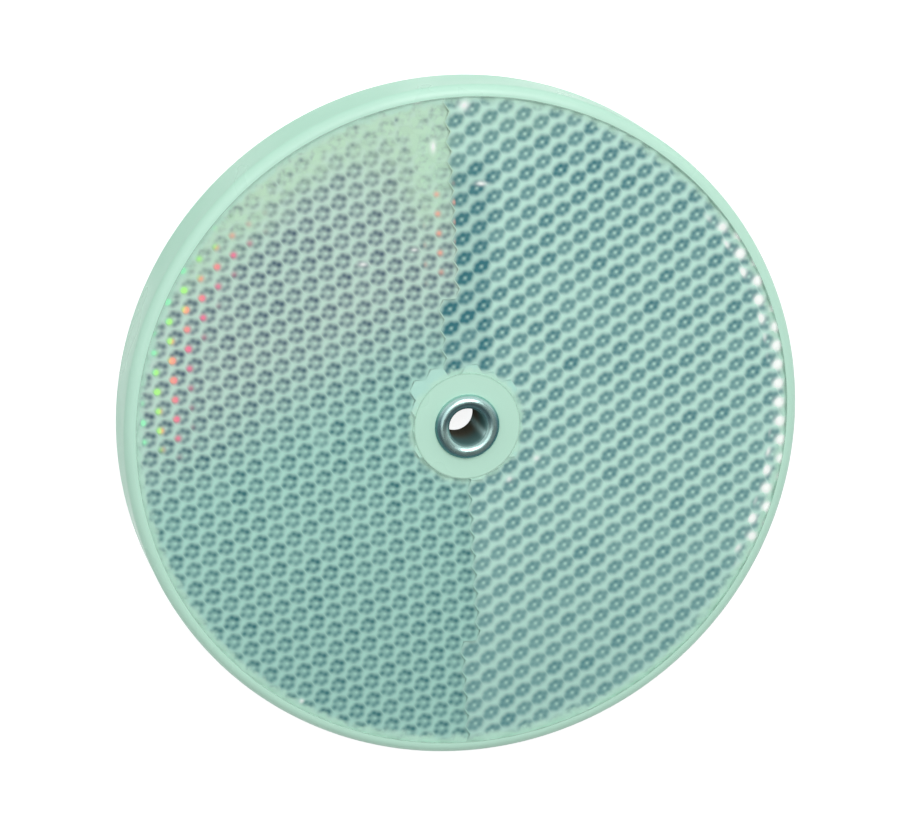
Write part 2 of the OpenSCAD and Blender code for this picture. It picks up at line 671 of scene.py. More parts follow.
@dataclass(frozen=True)
class SkinFinish:
    """The clear outer skin: open over the prisms, milky at the rim and round the hole."""

    milk: Colour = linear(198, 240, 220)
    wall: Colour = linear(172, 233, 205)
    field_in: float = 6.4 * MM
    field_out: float = 40.7 * MM
    fringe_in: float = 0.35 * MM
    fringe_out: float = 0.2 * MM
    side: Span = (7.9 * MM, 7.6 * MM)
    side_tint: Span = (7.9 * MM, 6.2 * MM)
    drift: Waves = (70, 2)
    dimmed: float = 0.9
    rough: Span = (0.26, 0.36)
    index: float = 1.49
    polish: float = 0.06
    straight_on: float = 0.04
    glancing_power: float = 5.0

    def build(self, g: Graph) -> None:
        """Draws the finish: a share of milky plastic by the distance from the axis, and gloss.

        The gloss on the clear part grows from its share straight on to all of the light at a
        glancing angle, with a power of how much the face turns away.

        Args:
            g: The graph.
        """
        x, y, z = g.place()
        radius = (x * x + y * y).root()
        edge = radius.step(self.field_out - self.fringe_out, self.field_out)
        middle = radius.step(self.field_in + self.fringe_in, self.field_in)
        low = z.step(*self.side)
        cover = g.maths("MAXIMUM", g.maths("MAXIMUM", edge, middle), low)
        drift = g.noise(*self.drift)
        milk = g.blend(drift, self.milk, tuple(self.dimmed * c for c in self.milk))
        tint = g.blend(z.step(*self.side_tint), milk, self.wall)
        rough = g.remap(drift, *NOISE_BODY, *self.rough)
        shader = g.principled(Base_Color=tint, Roughness=rough, IOR=self.index)
        clear = g.node("ShaderNodeBsdfTransparent")
        gloss = g.node("ShaderNodeBsdfGlossy")
        g.feed(gloss.inputs["Roughness"], self.polish)
        facing = Signal(g, g.node("ShaderNodeLayerWeight").outputs["Facing"])
        glancing = facing.power(self.glancing_power)
        pane = g.node("ShaderNodeMixShader")
        g.feed(pane.inputs[0], glancing.scaled(1 - self.straight_on, self.straight_on))
        g.feed(pane.inputs[1], clear.outputs[0])
        g.feed(pane.inputs[2], gloss.outputs[0])
        both = g.node("ShaderNodeMixShader")
        g.feed(both.inputs[0], cover)
        g.feed(both.inputs[1], pane.outputs[0])
        g.feed(both.inputs[2], shader.outputs[0])
        g.finish(both.outputs[0])


@dataclass(frozen=True)
class PlateFinish:
    """The moulded back plate: satin plastic with a fine grain."""

    body: Colour = linear(168, 208, 194)
    dimmed: float = 0.86
    drift: Waves = (60, 3)
    grain: Waves = (2600, 2)
    rough: Span = (0.42, 0.56)
    relief: Span = (0.25, 0.2 * MM)

    def build(self, g: Graph) -> None:
        """Draws the finish: slow colour drift, and a fine grain in roughness and height.

        Args:
            g: The graph.
        """
        drift = g.noise(*self.drift)
        grain = g.noise(*self.grain)
        base = g.blend(drift, tuple(self.dimmed * c for c in self.body), self.body)
        rough = g.remap(grain, *NOISE_BODY, *self.rough)
        normal = g.bump(grain, *self.relief)
        shader = g.principled(Base_Color=base, Roughness=rough, Normal=normal)
        g.finish(shader.outputs[0])


@dataclass(frozen=True)
class NickelFinish:
    """The eyelet's bright plated metal, with painted shade on its roll and down its bore.

    Painted shade lies on the roll's lower outer side by the lens and on its upper inner side,
    and a painted streak of reflected light runs down the bore. Places are in millimetres: z is the
    height, and radius the distance from the axis.
    """

    bright: Colour = (0.47, 0.68, 0.65)
    # Colour of the painted shade on the roll's lower outer side, next to the lens.
    foot: Colour = (0.150, 0.280, 0.310)
    # Painted shade of the bore's inside, turning to the warmer dark below it further down.
    bore_shade: Colour = (0.13, 0.25, 0.245)
    deep: Colour = (0.22, 0.20, 0.15)
    # Colour of the painted streak of reflected light down the bore.
    bore_reflection: Colour = (0.60, 0.86, 0.84)
    grazing: Colour = (0.42, 0.64, 0.68)
    # Where the painted shade at the foot lies: low on the roll, outside, on the lower side.
    foot_shade_z: Span = (8.885, 8.74)
    foot_shade_radius: Span = (2.95, 3.2)
    foot_shade_y: Span = (3.2, 0.4)
    # Where the painted shade on the roll's upper inner side lies, and how strong it is.
    brow_shade_radius: Span = (3.25, 2.9)
    brow_shade_y: Span = (-0.7, 1.2)
    brow_shade_share: float = 0.92
    deep_z: Span = (6.5, 2.5)
    # Where the painted streak of reflected light lies in the bore.
    bore_reflection_across: Place = (0.39, 0.92)
    bore_reflection_bell: Span = (0.0, 0.42)
    bore_reflection_x: Span = (0.3, 1.2)
    inside_radius: Span = (2.75, 2.35)
    inside_z: Span = (8.75, 8.2)
    lines: tuple[float, float, Triple] = (900, 3, (1, 1, 14))
    rough: Span = (0.20, 0.34)

    def build(self, g: Graph) -> None:
        """Draws the finish: painted shade and reflection by place, and fine lines in the roughness.

        Args:
            g: The graph.
        """
        x, y, z = (place * IN_MM for place in g.place())
        lines = g.noise(*self.lines)
        radius = (x * x + y * y).root()
        # Painted shade: the roll's lower outer side and its upper inner side are darkened.
        foot = z.step(*self.foot_shade_z) * radius.step(*self.foot_shade_radius) * y.step(*self.foot_shade_y)
        brow_shade = radius.step(*self.brow_shade_radius) * y.step(*self.brow_shade_y) * self.brow_shade_share
        rim = g.blend(g.maths("MAXIMUM", foot, brow_shade), self.bright, self.foot)
        across = x * self.bore_reflection_across[0] + y * self.bore_reflection_across[1]
        bore_reflection = across.bell(*self.bore_reflection_bell) * x.step(*self.bore_reflection_x)
        # The bore's inside is painted shade, warmer further down, with a painted streak of
        # reflected light.
        wall = g.blend(z.step(*self.deep_z), self.bore_shade, self.deep)
        wall = g.blend(bore_reflection, wall, self.bore_reflection)
        inside = radius.step(*self.inside_radius) * z.step(*self.inside_z)
        base = g.blend(inside, rim, wall)
        rough = g.remap(lines, *NOISE_BODY, *self.rough)
        shader = g.principled(
            Base_Color=base,
            Metallic=1 - inside,
            Roughness=rough,
            Specular_IOR_Level=0.0,
            Specular_Tint=self.grazing,
        )
        g.finish(shader.outputs[0])


@dataclass(frozen=True)
class FloorFinish:
    """The pale floor: white to the camera and in reflections, with the object's soft shadow."""

    own_light: float = 0.86
    paper: float = 0.40

    def build(self, g: Graph) -> None:
        """Draws the finish: diffuse paper, plus a plain glow where a ray from the eye lands.

        Args:
            g: The graph.
        """
        path = g.node("ShaderNodeLightPath")
        names = ("Is Camera Ray", "Is Glossy Ray", "Is Transmission Ray")
        seen, shiny, through = (Signal(g, path.outputs[n]) for n in names)
        share = g.maths("MAXIMUM", g.maths("MAXIMUM", seen, shiny), through)
        diffuse = g.node("ShaderNodeBsdfDiffuse")
        diffuse.inputs[0].default_value = (self.paper, self.paper, self.paper, 1)
        glow = g.node("ShaderNodeEmission")
        g.feed(glow.inputs["Strength"], share * self.own_light)
        both = g.node("ShaderNodeAddShader")
        g.feed(both.inputs[0], diffuse.outputs[0])
        g.feed(both.inputs[1], glow.outputs[0])
        g.finish(both.outputs[0])


def arc(centre: Place, radius: float, start: float, end: float, steps: int) -> np.ndarray:
    """Points on an arc: centre plus radius times the cosine and sine of angles from start to end.

    Args:
        centre: Distance from the axis and height of the arc's centre.
        radius: Radius of the arc.
        start: First angle in degrees, 0 pointing away from the axis and 90 up.
        end: Last angle in degrees.
        steps: How many chords the arc has.

    Returns:
        The points, one row each.
    """
    angle = np.radians(np.linspace(start, end, steps + 1))
    return np.array(centre) + radius * np.stack([np.cos(angle), np.sin(angle)], axis=1)


def line(start: Place, end: Place, steps: int) -> np.ndarray:
    """Points at even steps along a straight line from start to end."""
    share = np.linspace(0, 1, steps + 1)[:, None]
    return (1 - share) * np.array(start) + share * np.array(end)


def chain(*runs: np.ndarray) -> np.ndarray:
    """Joins runs of points end to end and drops a point that repeats the one before it.

    Args:
        runs: The runs.

    Returns:
        The joined run.
    """
    points = np.concatenate([np.atleast_2d(r) for r in runs])
    fresh = np.r_[True, np.linalg.norm(np.diff(points, axis=0), axis=1) > EXACT]
    return points[fresh]


@dataclass
class Surface:
    """A mesh being put together: its points, its faces and what each corner and face carries."""

    points: list[np.ndarray] = field(default_factory=list)
    faces: list[np.ndarray] = field(default_factory=list)
    maps: list[np.ndarray] = field(default_factory=list)
    cells: list[np.ndarray] = field(default_factory=list)
    slots: list[np.ndarray] = field(default_factory=list)
    tones: list[np.ndarray] = field(default_factory=list)
    halves: list[np.ndarray] = field(default_factory=list)
    count: int = 0

    def add(
        self,
        points: np.ndarray,
        faces: np.ndarray,
        bake: np.ndarray,
        slot: int = 0,
        cell: np.ndarray | None = None,
        tone: np.ndarray | float = 0.0,
        half: np.ndarray | float = 0.0,
    ) -> None:
        """Adds a sheet of faces that all have the same number of corners.

        Args:
            points: Its points, one row each.
            faces: Its corners by point number, one row a face, anticlockwise from outside.
            bake: Place of each point on the bake map.
            slot: Material slot of all its faces.
            cell: Place of each point in its prism, in prism widths, or None off the prisms.
            tone: Strength of the pattern on each face.
            half: 0 for the left pattern and 1 for the right one.
        """
        self.points.append(points)
        self.faces.append(faces + self.count)
        self.count += len(points)
        self.maps.append(bake[faces].reshape(-1, 2))
        away = np.full((len(points), 2), OFF_PRISMS)
        self.cells.append((away if cell is None else cell)[faces].reshape(-1, 2))
        self.slots.append(np.full(len(faces), slot))
        self.tones.append(np.broadcast_to(np.asarray(tone, float), len(faces)))
        self.halves.append(np.broadcast_to(np.asarray(half, float), len(faces)))

    def build(self, name: str, sharp: float) -> bpy.types.Object:
        """Turns the sheets into one object with its maps, attributes and smooth shading.

        Args:
            name: Name of the piece.
            sharp: Angle in degrees past which an edge stays sharp.

        Returns:
            The new object, at the origin.
        """
        mesh = bpy.data.meshes.new(name)
        points = np.concatenate(self.points)
        sizes = np.concatenate([np.full(len(f), f.shape[1]) for f in self.faces])
        corners = np.concatenate([f.ravel() for f in self.faces])
        mesh.vertices.add(len(points))
        mesh.vertices.foreach_set("co", points.ravel())
        mesh.loops.add(len(corners))
        mesh.loops.foreach_set("vertex_index", corners)
        mesh.polygons.add(len(sizes))
        mesh.polygons.foreach_set("loop_start", np.r_[0, np.cumsum(sizes)[:-1]])
        mesh.polygons.foreach_set("material_index", np.concatenate(self.slots))
        mesh.update(calc_edges=True)
        for title, values in ((BAKE_MAP, self.maps), (CELL_MAP, self.cells)):
            layer = mesh.uv_layers.new(name=title)
            layer.data.foreach_set("uv", np.concatenate(values).ravel())
        for title, values in (("tone", self.tones), ("half", self.halves)):
            held = mesh.attributes.new(title, "FLOAT", "FACE")
            held.data.foreach_set("value", np.concatenate(values))
        mesh.validate()
        made = bpy.data.objects.new(name, mesh)
        bpy.context.scene.collection.objects.link(made)
        weld(mesh)
        mesh.polygons.foreach_set("use_smooth", np.ones(len(mesh.polygons), bool))
        mesh.set_sharp_from_angle(angle=math.radians(sharp))
        return made


def weld(mesh: bpy.types.Mesh, reach: float = 0.012 * MM) -> None:
    """Joins the points of neighbouring sheets that lie in one place.

    Args:
        mesh: The mesh.
        reach: Greatest distance between points that are joined.
    """
    held = bmesh.new()
    held.from_mesh(mesh)
    bmesh.ops.remove_doubles(held, verts=held.verts, dist=reach)
    held.to_mesh(mesh)
    held.free()


@dataclass(frozen=True)
class Ring:
    """A closed ring of points round the Z axis, as directions that are scaled by a radius."""

    directions: np.ndarray
    heights: np.ndarray | None = None

    STEPS: ClassVar[int] = 3072

    @classmethod
    def on_steps(cls, steps: np.ndarray) -> "Ring":
        """A ring on whole steps of a fine division of the circle: cosine and sine of each."""
        angle = 2 * np.pi * np.unique(steps % cls.STEPS) / cls.STEPS
        return cls(np.stack([np.cos(angle), np.sin(angle)], axis=1))

    @classmethod
    def even(cls, sides: int) -> "Ring":
        """A ring of equal sides."""
        return cls.on_steps(np.arange(sides) * (cls.STEPS // sides))

    @classmethod
    def nearest_steps(cls, places: np.ndarray) -> np.ndarray:
        """The whole steps nearest to the directions of places."""
        turns = np.arctan2(places[:, 1], places[:, 0]) / (2 * np.pi)
        return np.round(turns * cls.STEPS).astype(int)

    def at(self, radius: float) -> np.ndarray:
        """The ring's points at a radius."""
        return self.directions * radius

    def revolve(self, profile: np.ndarray) -> tuple[np.ndarray, np.ndarray, np.ndarray]:
        """Carries a profile round the Z axis.

        Point i, j is (r_i times direction j, z_i), and the last column repeats the first. Where
        the ring has heights of its own, they take the place of z in the first row.

        Args:
            profile: Distance from the axis and height of each profile point, in order.

        Returns:
            The points, the four-cornered faces, and each point's share round and along.
        """
        around = np.concatenate([self.directions, self.directions[:1]])
        count = len(around)
        r, z = profile.T
        flat = r[:, None, None] * around
        points = np.concatenate([flat, np.broadcast_to(z[:, None, None], (len(r), count, 1))], 2)
        if self.heights is not None:
            points[0, :, 2] = np.r_[self.heights, self.heights[:1]]
        i, j = np.meshgrid(np.arange(len(r) - 1), np.arange(count - 1), indexing="ij")
        first = (i * count + j).ravel()
        faces = np.stack([first, first + 1, first + count + 1, first + count], axis=1)
        length = np.r_[0, np.cumsum(np.linalg.norm(np.diff(profile, axis=0), axis=1))]
        shares = [np.tile(np.linspace(0, 1, count), len(r)), np.repeat(length / length[-1], count)]
        return points.reshape(-1, 3), faces, np.stack(shares, axis=1)


def cut_at(
    start: np.ndarray, end: np.ndarray, radius: float, outside: bool, snap: float = 0.05 * MM
) -> Pair:
    """Cuts straight edges off at a circle.

    Points close to the circle are first moved onto it. Then the place where an edge crosses is
    the root of its squared distance from the axis less the squared radius, and it is moved to
    the nearest whole step of the ring.

    Args:
        start: First ends of the edges.
        end: Second ends.
        radius: The circle's radius.
        outside: Whether the part outside the circle is kept, and not the part inside.
        snap: How close to the circle a point is moved onto it.

    Returns:
        The cut edges' first and second ends.
    """
    ends = []
    for places in (start, end):
        r = np.linalg.norm(places, axis=1)
        on = Ring.nearest_steps(places) * (2 * np.pi / Ring.STEPS)
        snapped = radius * np.stack([np.cos(on), np.sin(on)], axis=1)
        ends.append(np.where((np.abs(r - radius) < snap)[:, None], snapped, places))
    start, end = ends
    sign = 1.0 if outside else -1.0
    keep = [sign * (np.linalg.norm(places, axis=1) - radius) > -EXACT for places in ends]
    along = end - start
    a, b = (along**2).sum(1), (start * along).sum(1)
    root = np.sqrt(np.maximum(b**2 - a * ((start**2).sum(1) - radius**2), 0))
    share = np.where(keep[0] == outside, -b - root, -b + root) / a
    on = Ring.nearest_steps(start + share[:, None] * along) * (2 * np.pi / Ring.STEPS)
    crossing = radius * np.stack([np.cos(on), np.sin(on)], axis=1)
    start = np.where(keep[0][:, None], start, crossing)
    end = np.where(keep[1][:, None], end, crossing)
    left = (keep[0] | keep[1]) & (np.linalg.norm(end - start, axis=1) > TOUCH)
    return start[left], end[left]


def triangulate(start: np.ndarray, end: np.ndarray, inner: float) -> Pair:
    """Fills the ring between two circles with triangles that keep to the given edges.

    Args:
        start: First ends of the edges, those of both circles with them.
        end: Second ends.
        inner: Radius of the inner circle, which stays open.

    Returns:
        The places, with those where edges cross added, and the triangles, anticlockwise.
    """
    digits = 4
    both = np.concatenate([start, end]) / MM
    rounded = np.round(both, digits)
    _, pick, number = np.unique(rounded, axis=0, return_index=True, return_inverse=True)
    edges = np.unique(np.sort(number.reshape(2, -1).T, axis=1), axis=0)
    spots = [Vector(spot) for spot in both[pick].tolist()]
    flat, _, faces, *_ = delaunay_2d_cdt(spots, edges.tolist(), [], 0, 10**-digits)
    flat = np.array([tuple(spot) for spot in flat]) * MM
    faces = np.array([face for face in faces if len(face) == 3])
    on_inner = np.linalg.norm(flat, axis=1) < inner + TOUCH
    faces = faces[~on_inner[faces].all(axis=1)]
    one, two, three = (flat[faces[:, k]] for k in range(3))
    turn = (two - one)[:, 0] * (three - one)[:, 1] - (two - one)[:, 1] * (three - one)[:, 0]
    return flat, np.where((turn > 0)[:, None], faces, faces[:, ::-1])


@dataclass
class PrismGrid:
    """Where the prisms stand: columns of hexagons on one grid, whose corners neighbours share."""

    width: float = 2.415 * MM
    turn: float = math.radians(3.5)
    shift: Place = (0.546, 0.395)
    nearest: float = 6.8 * MM
    furthest: float = 43.7 * MM
    joint_above: float = -1.7 * MM
    joint_below: float = 0.9 * MM
    slit: float = 0.12 * MM

    CORNERS: ClassVar[np.ndarray] = np.array(
        [[2, 0], [1, 1], [-1, 1], [-2, 0], [-1, -1], [1, -1]]
    )

    @property
    def corner_r(self) -> float:
        """Distance from a prism's middle to its corners: its width over the square root of 3."""
        return self.width / math.sqrt(3)

    @property
    def level(self) -> float:
        """Height between a cube's levels of corners: the cube's edge over the square root of 3."""
        return self.width / math.sqrt(6)

    @property
    def step(self) -> np.ndarray:
        """Half a column across and half a row up."""
        return np.array([self.corner_r / 2, self.width / 2])

    @property
    def turned(self) -> np.ndarray:
        """The matrix that turns rows of places by the columns' turn."""
        cos, sin = math.cos(self.turn), math.sin(self.turn)
        return np.array([[cos, sin], [-sin, cos]])

    def place(self, grid: np.ndarray) -> np.ndarray:
        """Places of grid points: half columns and half rows, shifted, then turned."""
        return (grid * self.step + np.array(self.shift) * self.width) @ self.turned

    def offset(self, side: Side) -> np.ndarray:
        """How far one half stands off the grid, to leave the slit of the joint."""
        return np.array([side.value * self.slit / 2, 0])

    def kept(self, grid: np.ndarray) -> np.ndarray:
        """True for prisms whose middle is outside the boss and whose corners are in the lens."""
        reach = np.linalg.norm(self.place(grid[:, None] + self.CORNERS), axis=2).max(axis=1)
        return (reach < self.furthest) & (np.linalg.norm(self.place(grid), axis=1) > self.nearest)

    def on_side(self, grid: np.ndarray, side: Side) -> np.ndarray:
        """Picks the kept prisms of one half, by their place beside the joint.

        Args:
            grid: Grid places of prisms.
            side: The half.

        Returns:
            True for each prism picked.
        """
        x, y = self.place(grid).T
        left = x < np.where(y > 0, self.joint_above, self.joint_below)
        return self.kept(grid) & (left == (side is Side.LEFT))

    def prisms(self, side: Side) -> np.ndarray:
        """Lists the prisms of one half: every second grid point of every third half column.

        Args:
            side: The half.

        Returns:
            Their grid places.
        """
        reach = int(self.furthest / self.corner_r) + 2
        c, r = np.meshgrid(np.arange(-reach, reach + 1), np.arange(-reach, reach + 1))
        grid = np.stack([3 * c, 2 * r + np.abs(c % 2)], axis=-1).reshape(-1, 2)
        return grid[self.on_side(grid, side)]

    def holding(self, places: np.ndarray) -> np.ndarray:
        """Grid place of the hexagon that holds each place.

        A place is carried back onto the grid, the nearest middle is found in the columns before
        and after it, and the nearer of the two is taken.

        Args:
            places: Places across and up.

        Returns:
            The grid places of the hexagons' middles.
        """
        x, y = ((places @ self.turned.T - np.array(self.shift) * self.width) / self.step).T
        found = []
        for c in (np.floor(x / 3), np.ceil(x / 3)):
            r = np.round((y - np.abs(c % 2)) / 2)
            found.append(np.stack([3 * c, 2 * r + np.abs(c % 2)], axis=1))
        away = [np.linalg.norm((g - np.stack([x, y], axis=1)) * self.step, axis=1) for g in found]
        return np.where((away[0] < away[1])[:, None], *found)

    def edges(self, side: Side) -> Pair:
        """Lists the edges of one half: six round each prism, and three from its apex.

        Args:
            side: The half.

        Returns:
            Both ends of the edges.
        """
        middle = self.prisms(side)
        first = 0 if side is Side.LEFT else 1
        corners = self.place(middle[:, None] + self.CORNERS) + self.offset(side)
        apex = np.repeat(self.place(middle)[:, None] + self.offset(side), 3, axis=1)
        start = np.concatenate([corners, apex], axis=1)
        end = np.concatenate([np.roll(corners, -1, axis=1), corners[:, first::2]], axis=1)
        return start.reshape(-1, 2), end.reshape(-1, 2)


@dataclass
class PrismSheet:
    """The back of the front wall: prisms of both halves, cut off by the boss and the skirt.

    What lies behind clear plastic shows nearer and shallower than it is, so the sheet stands at
    the height and with the relief at which it shows.
    """

    grid: PrismGrid
    height: float
    inner: float
    outer: float
    sides: int
    relief: float = 0.35
    root: float = 0.06 * MM
    lean: Place = (-0.2152, 0.2565)
    lifted: float = 2.1 * MM
    seed: int = 7
    spread: float = 0.055
    tone_span: Span = (0.5, 1.4)

    @property
    def slide(self) -> np.ndarray:
        """How far the prisms show aside of their place, because they show nearer."""
        return np.array(self.lean) * self.lifted

    def fixed_edges(self) -> Pair:
        """Lists the edges of the prisms, cut off at the circles, and of the circles.

        Returns:
            Both ends of the edges.
        """
        pairs = [self.grid.edges(side) for side in Side]
        start, end = (np.concatenate(ends) + self.slide for ends in zip(*pairs))
        start, end = cut_at(*cut_at(start, end, self.outer, False), self.inner, True)
        both = np.concatenate([start, end])
        even = np.arange(self.sides) * (Ring.STEPS // self.sides)
        for radius in (self.inner, self.outer):
            on = np.abs(np.linalg.norm(both, axis=1) - radius) < EXACT
            ring = Ring.on_steps(np.r_[even, Ring.nearest_steps(both[on])]).at(radius)
            start = np.concatenate([start, ring])
            end = np.concatenate([end, np.roll(ring, -1, axis=0)])
        return start, end

    def heights(self, places: np.ndarray, middle: np.ndarray, side: Side) -> np.ndarray:
        """Heights on the prisms with the given middles.

        A prism's height is that of its apex plus the greatest of three slopes, one towards each
        corner that lies in a valley.

        Args:
            places: Places across and up, one block a face.
            middle: Middle of each face's prism.
            side: The half, which says which three corners lie in valleys.

        Returns:
            The heights.
        """
        first = 1 if side is Side.LEFT else 0
        angle = np.radians(60 * (np.arange(3) * 2 + first)) + self.grid.turn
        towards = np.stack([np.cos(angle), np.sin(angle)])
        level = self.grid.level * self.relief
        apex = self.height - self.root - 2 * level
        return apex + 2 * level / self.grid.corner_r * ((places - middle) @ towards).max(axis=-1)

    def build(
        self, surface: Surface, bake: Callable[[np.ndarray], np.ndarray]
    ) -> tuple[Ring, Ring]:
        """Adds the sheet and its upright steps.

        Args:
            surface: The mesh being put together.
            bake: Gives the places on the bake map.

        Returns:
            The rings of the sheet's inner and outer edge.
        """
        flat, faces = triangulate(*self.fixed_edges(), self.inner)
        corners = flat[faces]
        spot = corners.mean(axis=1)
        z = np.full(faces.shape, self.height)
        cell = np.full(corners.shape, OFF_PRISMS)
        tone, half = np.zeros(len(faces)), np.zeros(len(faces))
        valley = self.height - self.root
        for side in Side:
            away = self.slide + self.grid.offset(side)
            held = self.grid.holding(spot - away)
            mine = self.grid.on_side(held, side)
            middle = (self.grid.place(held[mine]) + away)[:, None]
            z[mine] = self.heights(corners[mine], middle, side)
            drop = (valley - z[mine])[..., None] * np.array(self.lean)
            cell[mine] = (corners[mine] + drop - middle) / self.grid.width
            half[mine] = float(side is Side.RIGHT)
            tone[mine] = self.tones(held[mine])
        solid = np.concatenate([corners, z[..., None]], axis=2).reshape(-1, 3)
        number = np.arange(len(solid)).reshape(-1, 3)
        cell = cell.reshape(-1, 2)
        surface.add(solid, number[:, ::-1], bake(solid), Slot.PRISMS, cell, tone, half)
        return self.add_steps(surface, bake, flat, faces, z)

    def tones(self, held: np.ndarray) -> np.ndarray:
        """Gives each prism its own strength of pattern, a fixed random number near 1.

        Args:
            held: Grid place of each face's prism.

        Returns:
            The strength on each face.
        """
        column, row = (held - held.min(axis=0)).astype(int).T
        size = (column.max() + 1, row.max() + 1)
        table = np.random.default_rng(self.seed).normal(1.0, self.spread, size)
        return np.clip(table[column, row], *self.tone_span)

    def add_steps(
        self,
        surface: Surface,
        bake: Callable[[np.ndarray], np.ndarray],
        flat: np.ndarray,
        faces: np.ndarray,
        z: np.ndarray,
    ) -> tuple[Ring, Ring]:
        """Adds an upright wall wherever two faces meet at different heights.

        Args:
            surface: The mesh being put together.
            bake: Gives the places on the bake map.
            flat: Places of the sheet's points.
            faces: Its triangles.
            z: Height of each triangle at each of its corners.

        Returns:
            The rings of the sheet's inner and outer edge.
        """
        start, end = faces.ravel(), np.roll(faces, -1, axis=1).ravel()
        low, high = z.ravel(), np.roll(z, -1, axis=1).ravel()
        there = {pair: k for k, pair in enumerate(zip(start.tolist(), end.tolist()))}
        back = np.array([there.get(pair, -1) for pair in zip(end.tolist(), start.tolist())])
        number = np.arange(len(start))
        once = (back > number) & (
            (np.abs(low - high[back]) > LEVEL) | (np.abs(high - low[back]) > LEVEL)
        )
        walls = np.stack(
            [
                np.c_[flat[start[once]], low[once]],
                np.c_[flat[end[once]], high[once]],
                np.c_[flat[end[once]], low[back[once]]],
                np.c_[flat[start[once]], high[back[once]]],
            ],
            axis=1,
        ).reshape(-1, 3)
        number = np.arange(len(walls)).reshape(-1, 4)
        surface.add(walls, number, bake(walls), Slot.PRISMS)
        rim = np.stack([np.c_[flat[start], low], np.c_[flat[end], high]], axis=1)[back < 0]
        return self.edge_ring(rim[:, ::-1], self.inner), self.edge_ring(rim, self.outer)

    def edge_ring(self, rim: np.ndarray, radius: float) -> Ring:
        """The sheet's edge at one radius, both ends of each open edge in order round.

        Args:
            rim: Both ends of the sheet's open edges, each edge anticlockwise round the axis.
            radius: The radius of the edge wanted.

        Returns:
            The ring, with its heights.
        """
        rim = rim[np.abs(np.linalg.norm(rim[:, 0, :2], axis=1) - radius) < TOUCH]
        order = np.argsort(Ring.nearest_steps(rim[:, 0]) % Ring.STEPS)
        ends = rim[order].reshape(-1, 3)
        angle = Ring.nearest_steps(ends) * (2 * np.pi / Ring.STEPS)
        return Ring(np.stack([np.cos(angle), np.sin(angle)], axis=1), ends[:, 2])


